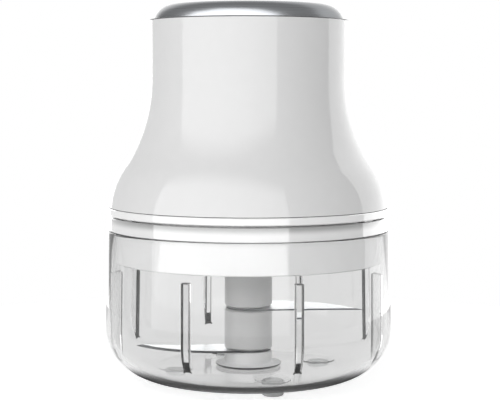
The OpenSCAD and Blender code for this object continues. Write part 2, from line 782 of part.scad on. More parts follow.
// One moulding: a cup for each cell, and between them the plate that the motor is screwed to
module chassis() {
    color([0.35, 0.36, 0.38]) difference() {
        union() {
            for (s = [-1, 1]) translate([s * cell_x, 0, 0]) bar(cup_r, motor_z - base_top_z, base_top_z);
            bar(motor_r + 1, plate_t, case_top_z);
            translate([-cell_x, -cup_r * 0.7, case_top_z]) cube([2 * cell_x, 2 * cup_r * 0.7, plate_t]);
            for (s = [0, 180]) rotate(s) {
                translate([0, chassis_screw_y, 0]) bar(chassis_boss_r, plate_t, case_top_z);
                translate([-chassis_boss_r, 0, case_top_z])
                    cube([2 * chassis_boss_r, chassis_screw_y, plate_t]);
            }
        }
        for (s = [-1, 1]) {
            translate([s * cell_x, 0, 0]) bar(cell_r + cup_gap, 40, cell_z);
            translate([0, s * motor_screw_y, 0]) bar(motor_screw[2], plate_t + 1, case_top_z - 0.5);
            translate([0, s * motor_screw_y, 0])
                bar(motor_screw[0] + 0.2, motor_screw[1] + eps, case_top_z - eps);
            translate([0, s * chassis_screw_y, motor_z]) bar(chassis_screw[2], 30, -20);
        }
        bar(motor_boss_r + 0.2, plate_t + 2 * eps, case_top_z - eps);
    }
}

// Motor head: battery and charging --------------------------------------------------------------------

module battery_cell(side) {
    cap_r = cell_r * 0.4;
    color([0.2, 0.5, 0.35]) translate([side * cell_x, 0, 0]) {
        bar(cell_r, cell_len - 1, cell_z);
        bar(cap_r, 1 + eps, cell_top_z - 1 - eps);
    }
}

module battery_left() { battery_cell(-1); }

module battery_right() { battery_cell(1); }

// A nickel strip that joins the two cells and steps past the switch
module battery_strap() {
    w = 4;
    y = switch_d / 2 + 0.5;
    color([0.8, 0.8, 0.75]) translate([0, 0, cell_top_z]) linear_extrude(strap_t) {
        for (s = [-1, 1]) translate([s * cell_x - w / 2, -w / 2]) square([w, y + 1.5 * w]);
        translate([-cell_x - w / 2, y]) square([2 * cell_x + w, w]);
    }
}

module circuit_board() {
    y0 = board_y - board_d;
    color([0.1, 0.4, 0.25]) difference() {
        union() {
            translate([-board_w / 2, y0, board_z]) cube([board_w, board_d, board_t]);
            translate([-3, y0 + 0.8, board_z + board_t - eps]) cube([6, 4, 1.2]);
            for (s = [-1, 1]) translate([s * (port_w / 2 + 3.2) - 1, board_y - 6, board_z + board_t - eps])
                cube([2, 3.2, 1]);
        }
        for (s = [-1, 1]) translate([s * board_screw_x, board_screw_y, board_z - eps])
            cylinder(r = board_screw[2], h = board_t + 2 * eps);
    }
}

// A rounded metal shell with an open mouth towards the back and a contact tongue inside
module charge_socket() {
    wall = 0.35;
    module shell(r, w, d) {
        translate([0, port_y, port_z]) rotate([90, 0, 0]) linear_extrude(d) {
            square([w - 2 * r, 2 * r], center = true);
            for (s = [-1, 1]) translate([s * (w / 2 - r), 0]) circle(r);
        }
    }
    color("silver") {
        difference() {
            shell(port_h / 2, port_w, port_depth);
            translate([0, eps, 0]) shell(port_h / 2 - wall, port_w - 2 * wall, port_depth - 1);
        }
        translate([-port_w * 0.36, port_y - port_depth + 0.5, port_z - 0.35])
            cube([port_w * 0.72, port_depth - 1.5, 0.7]);
    }
}

module charge_plug() {
    color([0.9, 0.9, 0.9]) {
        intersection() {
            difference() {
                port_shape(plug_border, collar_r);
                bell_core(flap_t);
            }
            bell_core(0);
        }
        intersection() {
            port_shape(port_gap - run_gap, collar_r);
            bell_core(flap_t - eps);
            translate([-port_w, port_y + run_gap, base_z]) cube([2 * port_w, 20, top_z - base_z]);
        }
    }
}

// Motor head: switch and button -----------------------------------------------------------------------

module switch_deck() {
    color([0.85, 0.85, 0.85]) difference() {
        union() {
            bar(deck_r, deck_t, deck_z);
            tube(coil_r + wire_r + 1, coil_r + wire_r + 0.2, 0.6 + eps, deck_top_z - eps);
        }
        bar(stem_r + 1, deck_t + 2 * eps, deck_z - eps);
        around(post_count, post_circle_r, 90) bar(post_r + run_gap, deck_t + 2 * eps, deck_z - eps);
        for (s = [-1, 1]) translate([0, s * deck_screw_y, 0]) bar(deck_screw[2], deck_t + 1, deck_z - 0.5);
    }
}

module switch_body() {
    color([0.15, 0.15, 0.15]) difference() {
        union() {
            translate([-switch_w / 2, -switch_d / 2, deck_z - switch_h]) cube([switch_w, switch_d, switch_h]);
            for (x = [-5, 0, 5]) translate([x - 0.4, -0.8, deck_z - switch_h - 1.2])
                cube([0.8, 1.6, 1.2 + eps]);
        }
        bar(plunger_r + 0.08, 4.2, deck_z - 4.2 + eps);
    }
}

module switch_plunger() {
    color([0.75, 0.2, 0.15]) bar(plunger_r, plunger_top_z - deck_z + 2, deck_z - 2);
}

module button_base() {
    outer_r = button_r - skin_t;
    color("white") {
        tube(outer_r, outer_r - 1.8, button_plate_z + button_plate_t - button_foot_z, button_foot_z);
        bar(outer_r - 1.8 + eps, button_plate_t, button_plate_z);
        bar(stem_r, button_plate_z + button_plate_t / 2 - stem_z, stem_z);
        around(post_count, post_circle_r, 90) difference() {
            bar(post_r, button_plate_z + button_plate_t / 2 - deck_z + run_gap, deck_z - run_gap);
            bar(button_screw[2], button_screw[3] + 2 * eps, deck_z - run_gap - eps);
        }
    }
}

// Outline of the metal skin's outer face, or of its inner one when inset
function cap_outline(inset) = let (
    a = 83, r = button_corner - inset, cr = button_r - button_corner,
    edge = [cr + r * cos(a), button_edge_z + r * sin(a)]) concat(
    [[button_r - inset, button_foot_z]],
    arc(cr, button_edge_z, r, 0, a),
    [for (i = [1:arc_steps]) let (t = 1 - i / arc_steps)
        [edge[0] * t, edge[1] + button_crown * (1 - t * t)]]);

module button_cap() {
    color([0.72, 0.73, 0.75]) rotate_extrude() polygon(concat(
        cap_outline(0), [for (i = [len(cap_outline(0)) - 1:-1:0]) cap_outline(skin_t)[i]]));
}

// A round wire wound from z0 up to z1, as rings of points joined side by side
module button_spring() {
    sides = 8;
    per_turn = 20;
    z0 = deck_top_z + 0.1 + wire_r;
    z1 = button_plate_z - 0.1 - wire_r;
    n = per_turn * coil_turns;
    points = [for (i = [0:n], j = [0:sides - 1])
        let (a = 360 * i / per_turn, b = 360 * j / sides, r = coil_r + wire_r * cos(b))
        [r * cos(a), r * sin(a), z0 + (z1 - z0) * i / n + wire_r * sin(b)]];
    sides_faces = [for (i = [0:n - 1], j = [0:sides - 1]) let (k = (j + 1) % sides)
        [i * sides + j, i * sides + k, (i + 1) * sides + k, (i + 1) * sides + j]];
    color("silver") polyhedron(points, concat(sides_faces,
        [[for (j = [sides - 1:-1:0]) j], [for (j = [0:sides - 1]) n * sides + j]]));
}

// Fasteners -------------------------------------------------------------------------------------------

module base_screws() {
    color("dimgray") for (a = base_screw_angles) rotate(a)
        translate([base_screw_circle_r, 0, base_z + base_screw[1] + 0.1]) mirror([0, 0, 1]) screw(base_screw);
}

module chassis_screws() {
    color("dimgray") for (s = [-1, 1]) translate([0, s * chassis_screw_y, motor_z]) screw(chassis_screw);
}

module motor_screws() {
    color("dimgray") for (s = [-1, 1]) translate([0, s * motor_screw_y, case_top_z + motor_screw[1]])
        mirror([0, 0, 1]) screw(motor_screw);
}

module board_screws() {
    color("dimgray") for (s = [-1, 1]) translate([s * board_screw_x, board_screw_y, board_z + board_t])
        screw(board_screw);
}

module deck_screws() {
    color("dimgray") for (s = [-1, 1]) translate([0, s * deck_screw_y, deck_top_z]) screw(deck_screw);
}

module button_screws() {
    color("dimgray") around(post_count, post_circle_r, 90)
        translate([0, 0, deck_z - run_gap]) mirror([0, 0, 1]) screw(button_screw);
}

bowl();
bowl_feet();
pivot_pin();
pivot_bush();
blade_hub();
lower_blade();
upper_blade();
lid();
lid_gasket();
base_cover();
motor_housing();
gear_case();
output_bush();
shaft_seal();
output_shaft();
planet_carrier();
drive_coupling();
planet_gear(0);  // planet_gear_1
planet_gear(1);  // planet_gear_2
planet_gear(2);  // planet_gear_3
sun_pinion();
motor_armature();
motor_can();
motor_magnets();
motor_brushes();
motor_bushes();
motor_endcap();
chassis();
battery_left();
battery_right();
battery_strap();
circuit_board();
charge_socket();
charge_plug();
switch_deck();
switch_body();
switch_plunger();
button_base();
button_cap();
button_spring();
base_screws();
chassis_screws();
motor_screws();
board_screws();
deck_screws();
button_screws();
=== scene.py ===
from math import asin, atan2, cos, degrees, pi, radians, sqrt

import bmesh
import bpy
from mathutils import Matrix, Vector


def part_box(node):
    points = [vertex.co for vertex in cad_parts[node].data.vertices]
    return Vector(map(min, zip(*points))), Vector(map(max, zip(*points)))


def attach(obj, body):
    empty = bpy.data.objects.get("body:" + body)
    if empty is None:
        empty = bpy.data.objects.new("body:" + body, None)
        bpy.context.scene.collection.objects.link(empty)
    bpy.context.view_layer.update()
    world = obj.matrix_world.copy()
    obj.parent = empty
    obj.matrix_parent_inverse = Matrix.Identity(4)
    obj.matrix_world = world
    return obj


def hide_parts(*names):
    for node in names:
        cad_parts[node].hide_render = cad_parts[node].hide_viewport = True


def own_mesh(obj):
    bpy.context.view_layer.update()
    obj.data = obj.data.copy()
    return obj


# A cordless mini food processor, dressed for rendering: a clear bowl with a two-blade hub, a white lid,
# and a press-top motor head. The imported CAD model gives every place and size. Lengths are in metres in the
# studio and in millimetres in every other section, and angles are in degrees.

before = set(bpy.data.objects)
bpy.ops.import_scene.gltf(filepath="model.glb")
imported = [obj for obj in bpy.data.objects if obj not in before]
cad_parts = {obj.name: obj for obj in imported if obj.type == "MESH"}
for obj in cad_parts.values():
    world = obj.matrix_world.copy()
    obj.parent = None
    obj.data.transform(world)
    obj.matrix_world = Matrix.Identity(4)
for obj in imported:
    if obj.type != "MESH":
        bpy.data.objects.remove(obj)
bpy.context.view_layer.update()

# Studio ----------------------------------------------------------------------------------------------
# A pale table top under a plain white surround. A wide soft light stands in front, a little to the left,
# and the white surround shows in gloss, in glass and behind the object. A weaker light fills the back.


def add(tree, kind, inputs=None, **settings):
    """Adds a node with its settings. inputs gives each input a value, or a socket to link from."""
    node = tree.nodes.new(kind)
    for name, value in settings.items():
        setattr(node, name, value)
    for name, value in (inputs or {}).items():
        if isinstance(value, bpy.types.NodeSocket):
            tree.links.new(value, node.inputs[name])
        else:
            node.inputs[name].default_value = value
    return node


def background_ray(tree):
    """1 for what the camera sees, straight or in gloss and glass, and 0 for light that falls on things."""
    path = add(tree, "ShaderNodeLightPath")
    seen = add(tree, "ShaderNodeMath", {0: path.outputs["Is Camera Ray"], 1: path.outputs["Is Glossy Ray"]},
               operation="MAXIMUM")
    return add(tree, "ShaderNodeMath", {0: seen.outputs[0], 1: path.outputs["Is Transmission Ray"]},
               operation="MAXIMUM").outputs[0]


def linear(hex_colour):
    """An sRGB hex colour as linear red, green, blue and alpha."""
    parts = [int(hex_colour[i:i + 2], 16) / 255 for i in (1, 3, 5)]
    return [c / 12.92 if c <= 0.04045 else ((c + 0.055) / 1.055) ** 2.4 for c in parts] + [1]


scene = bpy.context.scene
scene.view_settings.view_transform = "Standard"

# The surround lights things weakly, and shows as plain white.
AMBIENT = 0.3
world = bpy.data.worlds.new("white_surround")
scene.world = world
world.use_nodes = True
tree = world.node_tree
tree.nodes.clear()
strength = add(tree, "ShaderNodeMapRange", {"Value": background_ray(tree), "To Min": AMBIENT,
                                            "To Max": 1.0})
surround = add(tree, "ShaderNodeBackground", {"Strength": strength.outputs[0]})
surround.inputs["Color"].default_value = linear("#FFFFFF")
add(tree, "ShaderNodeOutputWorld", {"Surface": surround.outputs[0]})


def softbox(name, azimuth, distance, width, bottom_z, top_z, radiance, diffuse=True, glossy=True):
    """A flat soft light that faces the object. azimuth turns from the front to the right. Glass shows only
    the lights in front."""
    light = bpy.data.lights.new(name, "AREA")
    light.shape = "RECTANGLE"
    light.size, light.size_y = width, top_z - bottom_z
    light.energy = radiance * pi * light.size * light.size_y
    lamp = bpy.data.objects.new(name, light)
    scene.collection.objects.link(lamp)
    turn = Matrix.Rotation(radians(azimuth), 4, "Z")
    place = Matrix.Translation((0, -distance, (bottom_z + top_z) / 2))
    lamp.matrix_world = turn @ place @ Matrix.Rotation(pi / 2, 4, "X")
    lamp.visible_camera = False
    lamp.visible_transmission = glossy and abs(azimuth) < 90
    lamp.visible_diffuse = diffuse
    lamp.visible_glossy = glossy
    return lamp


# The front light fades towards its top, so gloss sees it as three sheets that end at different heights.
# After the azimuth come the distance, the width, the lower and upper edge, and the radiance.
FRONT_LEFT, BACK_RIGHT = -24.5, 157.5
softbox("front_light", FRONT_LEFT, 1.2, 3.6, -0.45, 1.5, 1.06, glossy=False)
softbox("front_glow_low", FRONT_LEFT, 1.15, 3.45, -0.43, 1.15, 0.7, diffuse=False)
softbox("front_glow_middle", FRONT_LEFT, 1.14, 3.42, -0.43, 1.4, 0.7, diffuse=False)
softbox("front_glow_high", FRONT_LEFT, 1.13, 3.39, -0.43, 1.7, 0.6, diffuse=False)
softbox("back_glow", BACK_RIGHT, 1.2, 3.24, -0.45, 1.45, 1.6, diffuse=False)
softbox("back_fill", BACK_RIGHT, 1.25, 3.24, -0.45, 1.45, 0.45, glossy=False)

# The camera looks down a little from half a metre in front. The lens and sensor are in millimetres.
LENS, SENSOR_W, NEAREST = 101.34, 36, 0.01
CAMERA_DISTANCE, CAMERA_Z = 0.4792, 0.0996
PITCH_DOWN, YAW, ROLL = 4.466, -0.06, 0.1
camera = bpy.data.objects.new("camera", bpy.data.cameras.new("camera"))
scene.collection.objects.link(camera)
scene.camera = camera
camera.data.lens = LENS
camera.data.sensor_width = SENSOR_W
camera.data.clip_start = NEAREST
camera.matrix_world = (Matrix.Translation((0, -CAMERA_DISTANCE, CAMERA_Z))
                       @ Matrix.Rotation(radians(YAW), 4, "Z")
                       @ Matrix.Rotation(radians(90 - PITCH_DOWN), 4, "X")
                       @ Matrix.Rotation(radians(ROLL), 4, "Z"))

FLOOR_R, FLOOR_SIDES = 0.2, 96
bm = bmesh.new()
bmesh.ops.create_circle(bm, cap_ends=True, radius=FLOOR_R, segments=FLOOR_SIDES)
mesh = bpy.data.meshes.new("table_top")
bm.to_mesh(mesh)
bm.free()
floor = bpy.data.objects.new("table_top", mesh)
scene.collection.objects.link(floor)

# White laminate, matt and even, with a soft shadow. Gloss, and the thick lower corner of the bowl, see a
# painted shadow on it, a dark ring close under the object where little light would reach it: darkest within
# RING_HALF of
# RING_R, down to RING_LEAST, and gone RING_FADE from there. The same painted ring darkens the light it
# throws back. Seen through more walls than that corner's two faces it is plain white, and TABLE_GLOW brings
# it near that elsewhere.
RING_R, RING_HALF, RING_FADE = 0.035, 0.003, 0.012
RING_LEAST, CORNER_FACES, TABLE_GLOW = 0.1, 2, 0.62
surface = bpy.data.materials.new("white_laminate")
surface.use_nodes = True
tree = surface.node_tree
tree.nodes.clear()
reach = add(tree, "ShaderNodeVectorMath", {0: add(tree, "ShaderNodeTexCoord").outputs["Object"]},
            operation="LENGTH")
off_ring = add(tree, "ShaderNodeMath", {0: reach.outputs["Value"], 1: RING_R}, operation="SUBTRACT")
apart = add(tree, "ShaderNodeMath", {0: off_ring.outputs[0]}, operation="ABSOLUTE")
# The painted shadow: a dark ring on the laminate, faded out away from RING_R.
outside_painted_shadow = add(tree, "ShaderNodeMapRange", {"Value": apart.outputs[0], "From Min": RING_HALF,
                                       "From Max": RING_FADE, "To Min": RING_LEAST},
          interpolation_type="SMOOTHSTEP")
path = add(tree, "ShaderNodeLightPath")
deep = add(tree, "ShaderNodeMath", {0: path.outputs["Transmission Depth"], 1: CORNER_FACES + 0.5},
           operation="GREATER_THAN")
plain = add(tree, "ShaderNodeMath", {0: deep.outputs[0], 1: path.outputs["Is Camera Ray"]},
            operation="MAXIMUM")
shown = add(tree, "ShaderNodeMath", {0: outside_painted_shadow.outputs[0], 1: plain.outputs[0]}, operation="MAXIMUM")
tone = add(tree, "ShaderNodeMix", {0: shown.outputs[0], 6: linear("#000000"), 7: linear("#F4F4F4")},
           data_type="RGBA")
paint = add(tree, "ShaderNodeBsdfDiffuse", {"Color": tone.outputs[2]})
seen = add(tree, "ShaderNodeMath", {0: background_ray(tree), 1: shown.outputs[0]}, operation="MULTIPLY")
lift = add(tree, "ShaderNodeMath", {0: seen.outputs[0], 1: TABLE_GLOW}, operation="MULTIPLY")
glow = add(tree, "ShaderNodeEmission", {"Color": linear("#FFFFFF"), "Strength": lift.outputs[0]})
both = add(tree, "ShaderNodeAddShader", {0: paint.outputs[0], 1: glow.outputs[0]})
white = add(tree, "ShaderNodeEmission", {"Color": linear("#FFFFFF"), "Strength": 1.0})
whole = add(tree, "ShaderNodeMixShader", {0: deep.outputs[0], 1: both.outputs[0], 2: white.outputs[0]})
add(tree, "ShaderNodeOutputMaterial", {"Surface": whole.outputs[0]})
mesh.materials.append(surface)

# Bowl ------------------------------------------------------------------------------------------------
# Clear polycarbonate, injection moulded in one piece with its ribs, pivot boss and the raised pads over
# the feet. It is spun from one outline, its ribs are drawn in from the inner wall, and edges are rounded.

MM = 0.001
bowl_low, bowl_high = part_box("bowl")
BOWL_R = bowl_high[0] / MM
UNDER_Z = bowl_low[2] / MM
RIM_Z = bowl_high[2] / MM
WALL, RIM_ROUND, CORNER_R = 2, 0.5, 17.5
WALL_LEAN = 0.5
RIM_R = BOWL_R - WALL_LEAN
FLOOR_Z = UNDER_Z + WALL
BOSS_R, BOSS_H = 4.4, 4
SPIN_STEPS = 240

# The ribs are two spin steps, 2.4 mm, wide and 2.5 mm deep, where the solid's are 3 and 4 mm, because the
# clear wall in front of them makes them look wider. The first stands at FIRST_RIB. The bevel along their
# edges is RIB_BEVEL wide, and it and their faces below DARK_FOOT_Z are tinted nearly black as painted shade.
RIBS, FIRST_RIB, RIB_DEPTH, RIB_TOP_Z = 8, -70, 2.5, 39.2
RIB_BEVEL, DARK_FOOT_Z = 0.4, 15.0


class Outline:
    """The half section of a round piece, drawn in the XZ plane point by point and then spun."""

    def __init__(self, r, z):
        self.bm = bmesh.new()
        self.end = self.bm.verts.new((r * MM, 0, z * MM))

    def to(self, *points):
        for r, z in points:
            self.end = bmesh.ops.extrude_vert_indiv(self.bm, verts=[self.end])["verts"][0]
            self.end.co = (r * MM, 0, z * MM)
        return self

    def arc(self, r, z, turn, steps):
        """Turns the end about (r, z) by that many degrees, counterclockwise."""
        made = bmesh.ops.spin(self.bm, geom=[self.end], cent=(r * MM, 0, z * MM), axis=(0, -1, 0),
                              angle=radians(turn), steps=steps)
        self.end = [g for g in made["geom_last"] if isinstance(g, bmesh.types.BMVert)][0]
        return self

    def soften(self, radius, segments=3, least=30):
        """Rounds every corner that turns by more than least degrees."""
        corners = []
        for v in self.bm.verts:
            if len(v.link_edges) == 2 and v.co.x > radius * MM:
                a, b = (e.other_vert(v).co - v.co for e in v.link_edges)
                if degrees(pi - a.angle(b)) > least:
                    corners.append(v)
        bmesh.ops.bevel(self.bm, geom=corners, offset=radius * MM, segments=segments, profile=0.5,
                        affect="VERTICES", material=-1)
        return self

    def spin(self, steps=SPIN_STEPS, start=0.0):
        bm = self.bm
        bmesh.ops.rotate(bm, verts=bm.verts, cent=(0, 0, 0), matrix=Matrix.Rotation(radians(start), 3, "Z"))
        bmesh.ops.spin(bm, geom=bm.verts[:] + bm.edges[:], cent=(0, 0, 0), axis=(0, 0, 1), angle=2 * pi,
                       steps=steps, use_merge=True)
        bmesh.ops.remove_doubles(bm, verts=bm.verts, dist=0.001 * MM)
        bmesh.ops.recalc_face_normals(bm, faces=bm.faces)
        return bm


def piece(name, bm, material, body, sharp=40):
    """Makes a mesh into a smooth-shaded piece that rides on a body and takes that slot's finish."""
    for face in bm.faces:
        face.smooth = True
    mesh = bpy.data.meshes.new(name)
    bm.to_mesh(mesh)
    bm.free()
    mesh.set_sharp_from_angle(angle=radians(sharp))
    mesh.materials.append(material)
    made = bpy.data.objects.new(name, mesh)
    scene.collection.objects.link(made)
    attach(made, body)
    return made


def combine(target, tool_bm, operation):
    """Joins a solid to a piece, or cuts it away, and keeps the result as the piece's mesh."""
    mesh = bpy.data.meshes.new("tool")
    tool_bm.to_mesh(mesh)
    tool_bm.free()
    tool = bpy.data.objects.new("tool", mesh)
    scene.collection.objects.link(tool)
    change = target.modifiers.new(operation, "BOOLEAN")
    change.object, change.operation, change.solver = tool, operation, "EXACT"
    solved = target.evaluated_get(bpy.context.evaluated_depsgraph_get())
    result = bpy.data.meshes.new_from_object(solved)
    target.modifiers.remove(change)
    old, target.data = target.data, result
    bpy.data.meshes.remove(old)
    bpy.data.objects.remove(tool)
    bpy.data.meshes.remove(mesh)


def shader(name):
    """A new material with its tree, its Principled shader and the object's own coordinates."""
    made = bpy.data.materials.new(name)
    made.use_nodes = True
    tree = made.node_tree
    skin = tree.nodes["Principled BSDF"]
    place = add(tree, "ShaderNodeTexCoord").outputs["Object"]
    return made, tree, skin, place


# Polycarbonate is clear and faintly grey. The grey is in its depth, so edges and corners, where one looks
# through more of it, are dark. Light passes through it onto the table. The melt's flow leaves slow ripples,
# 25 mm wide.
FLOW = 25


def clear(name, tint):
    """Polycarbonate as clear as tint lets it be."""
    made, tree, skin, place = shader(name)
    skin.inputs["Base Color"].default_value = linear(tint)
    skin.inputs["Transmission Weight"].default_value = 1
    skin.inputs["IOR"].default_value = 1.58
    skin.inputs["Roughness"].default_value = 0.0
    skin.inputs["Specular Tint"].default_value = linear("#B0B0B0")
    flow = add(tree, "ShaderNodeTexNoise", {"Vector": place, "Scale": 1 / (FLOW * MM), "Detail": 1})
    ripple = add(tree, "ShaderNodeBump", {"Height": flow.outputs["Fac"], "Strength": 0.05,
                                          "Distance": 0.05 * MM})
    tree.links.new(ripple.outputs[0], skin.inputs["Normal"])
    path = add(tree, "ShaderNodeLightPath")
    through = add(tree, "ShaderNodeBsdfTransparent", {"Color": linear("#FBFCFC")})
    cover = add(tree, "ShaderNodeMixShader", {0: path.outputs["Is Shadow Ray"], 1: skin.outputs[0],
                                              2: through.outputs[0]})
    depth = add(tree, "ShaderNodeVolumeAbsorption", {"Color": linear("#BCBDBD"), "Density": 50.0})
    tree.links.new(cover.outputs[0], tree.nodes["Material Output"].inputs["Surface"])
    tree.links.new(depth.outputs[0], tree.nodes["Material Output"].inputs["Volume"])
    return made


clear_plastic = clear("clear_polycarbonate", "#F1F1F1")

# Painted shade: the bevels and feet of the ribs, which turn light away, are tinted nearly black.
painted_dark_edges = clear("clear_polycarbonate_painted_shade", "#141414")

corner_r = BOWL_R - CORNER_R
corner_z = UNDER_Z + CORNER_R
inner_corner = CORNER_R - WALL
rib_r = BOWL_R - WALL - RIB_DEPTH
rib_foot = degrees(asin((rib_r - corner_r) / inner_corner))
outline = Outline(0, UNDER_Z).to((corner_r, UNDER_Z)).arc(corner_r, corner_z, 90, 24)
outline.to((RIM_R, RIM_Z), (RIM_R - WALL, RIM_Z)).soften(RIM_ROUND)
outline.to((BOWL_R - WALL, RIB_TOP_Z), (BOWL_R - WALL, corner_z))
outline.arc(corner_r, corner_z, rib_foot - 90, 16).arc(corner_r, corner_z, -rib_foot, 10)
outline.to((BOSS_R, FLOOR_Z), (BOSS_R, FLOOR_Z + BOSS_H), (0, FLOOR_Z + BOSS_H))
bm = outline.spin(start=FIRST_RIB)

# The inner wall's faces lie within inner_limit of the axis, and the outer wall's beyond it.
step = 2 * pi / SPIN_STEPS
inner_limit = BOWL_R - 0.8 * WALL


def off_rib_line(co):
    """How far a point is round from the middle of the nearest rib, in spin steps."""
    turn = atan2(co.y, co.x) - radians(FIRST_RIB)
    return abs((turn + pi / RIBS) % (2 * pi / RIBS) - pi / RIBS) / step


def faces_in(face):
    """True where a face looks towards the bowl's axis."""
    return face.normal.xy.dot(face.calc_center_median().xy) < 0


def on_rib(face):
    """True for the two columns of inner wall on each rib's line, from its foot to its top."""
    middle = face.calc_center_median()
    return (off_rib_line(middle) < 1 and rib_r < middle.xy.length / MM < inner_limit
            and middle.z / MM < RIB_TOP_Z and faces_in(face))


drawn = bmesh.ops.extrude_face_region(bm, geom=[f for f in bm.faces if on_rib(f)])["geom"]
fronts = [g for g in drawn if isinstance(g, bmesh.types.BMFace)]
for v in [g for g in drawn if isinstance(g, bmesh.types.BMVert)]:
    r = v.co.xy.length
    v.co.x *= rib_r * MM / r
    v.co.y *= rib_r * MM / r
bmesh.ops.delete(bm, geom=[f for f in bm.faces if on_rib(f) and f not in fronts], context="FACES_ONLY")
bmesh.ops.remove_doubles(bm, verts=bm.verts, dist=0.005 * MM)
bmesh.ops.recalc_face_normals(bm, faces=bm.faces)

EDGE_TURN, EDGE_SLACK, FACE_SLACK, END_SLACK = 50, 0.3, 0.15, 0.1
RIB_REACH = 1.3
rib_foot_z = corner_z - inner_corner * cos(radians(rib_foot))


def on_corner(edge):
    """True for the edges round the front of each rib, which turn by more than EDGE_TURN."""
    middle = (edge.verts[0].co + edge.verts[1].co) / 2
    return (len(edge.link_faces) == 2 and edge.calc_face_angle() > radians(EDGE_TURN)
            and off_rib_line(middle) < RIB_REACH and abs(middle.xy.length / MM - rib_r) < EDGE_SLACK
            and rib_foot_z - END_SLACK < middle.z / MM < RIB_TOP_Z + END_SLACK)


def on_dark_foot(face):
    """True for the low end of a rib's front."""
    middle = face.calc_center_median()
    return (off_rib_line(middle) < 1 and abs(middle.xy.length / MM - rib_r) < FACE_SLACK
            and middle.z / MM < DARK_FOOT_Z and faces_in(face))


corners = [e for e in bm.edges if on_corner(e)]
cut = bmesh.ops.bevel(bm, geom=corners, offset=RIB_BEVEL * MM, segments=1, profile=0.5, affect="EDGES",
                      material=-1)
# The bevels, and below them the low ends of the rib fronts, take the painted shade.
for face in cut["faces"]:
    face.material_index = 1
for face in bm.faces:
    if on_dark_foot(face):
        face.material_index = 1
bowl = piece("clear_bowl", bm, clear_plastic, "bowl", sharp=30)
bowl.data.materials.append(painted_dark_edges)

# Above each foot the floor rises in a round pad with a sloping edge.
FEET, FOOT_CIRCLE_R, FIRST_FOOT = 4, 26, -72
PAD_R, PAD_H, PAD_SLOPE, PAD_SIDES = 6.2, 0.4, 0.5, 64


def round_the_feet(bm, geom):
    """Moves a shape from the middle onto the first foot and copies it onto the others."""
    verts = [g for g in geom if isinstance(g, bmesh.types.BMVert)]
    bmesh.ops.translate(bm, verts=verts, vec=(FOOT_CIRCLE_R * MM, 0, 0))
    bmesh.ops.rotate(bm, verts=verts, cent=(0, 0, 0), matrix=Matrix.Rotation(radians(FIRST_FOOT), 3, "Z"))
    for i in range(1, FEET):
        copy = bmesh.ops.duplicate(bm, geom=geom)["geom"]
        bmesh.ops.rotate(bm, verts=[g for g in copy if isinstance(g, bmesh.types.BMVert)], cent=(0, 0, 0),
                         matrix=Matrix.Rotation(2 * pi * i / FEET, 3, "Z"))


bm = bmesh.new()
bmesh.ops.create_cone(bm, cap_ends=True, segments=PAD_SIDES, radius1=PAD_R * MM,
                      radius2=(PAD_R - PAD_SLOPE) * MM, depth=(PAD_H + PAD_SLOPE) * MM,
                      matrix=Matrix.Translation((0, 0, (FLOOR_Z + (PAD_H - PAD_SLOPE) / 2) * MM)))
round_the_feet(bm, bm.verts[:] + bm.edges[:] + bm.faces[:])
combine(bowl, bm, "UNION")
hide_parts("bowl")

# Feet ------------------------------------------------------------------------------------------------
# Four soft studs of clear silicone rubber, pushed into blind holes under the bowl. Each is one round
# outline, spun and copied around the circle.

# The foot tapers by FOOT_TAPER over the lowest TAPER_PART of its height.
FOOT_R, FOOT_TAPER, TAPER_PART, FOOT_ROUND, FOOT_GAP, FOOT_SIDES = 3.75, 0.5, 0.3, 0.35, 0.02, 40
STUB_R, STUB_H = 2.4, 1

# Clear silicone: soft edged and slightly cloudy, so the white table shows through it. The cloud's specks
# are 0.8 mm wide.
foot_rubber, tree, skin, place = shader("clear_silicone")
skin.inputs["Transmission Weight"].default_value = 0.35
skin.inputs["IOR"].default_value = 1.41
skin.inputs["Roughness"].default_value = 0.15
bloom = add(tree, "ShaderNodeTexNoise", {"Vector": place, "Scale": 1 / (0.8 * MM), "Detail": 3})
cloud = add(tree, "ShaderNodeMix", {0: bloom.outputs["Fac"], 6: linear("#F8F9F9"), 7: linear("#FDFDFD")},
            data_type="RGBA")
tree.links.new(cloud.outputs[2], skin.inputs["Base Color"])
soft = add(tree, "ShaderNodeBump", {"Height": bloom.outputs["Fac"], "Strength": 0.15,
                                    "Distance": 0.03 * MM})
tree.links.new(soft.outputs[0], skin.inputs["Normal"])

foot_top = UNDER_Z - FOOT_GAP
outline = Outline(0, 0).to((FOOT_R - FOOT_TAPER, 0), (FOOT_R, UNDER_Z * TAPER_PART), (FOOT_R, foot_top))
outline.soften(FOOT_ROUND)
outline.to((STUB_R, foot_top), (STUB_R, UNDER_Z + STUB_H), (0, UNDER_Z + STUB_H))
bm = outline.spin(steps=FOOT_SIDES)
round_the_feet(bm, bm.verts[:] + bm.edges[:] + bm.faces[:])
feet = piece("rubber_feet", bm, foot_rubber, "bowl")
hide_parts("bowl_feet")

# Pivot -----------------------------------------------------------------------------------------------
# A turned steel pin is pressed into the boss in the bowl, and a moulded nylon bush slips over it. The hub
# turns on the two.

SPREAD = 0.3


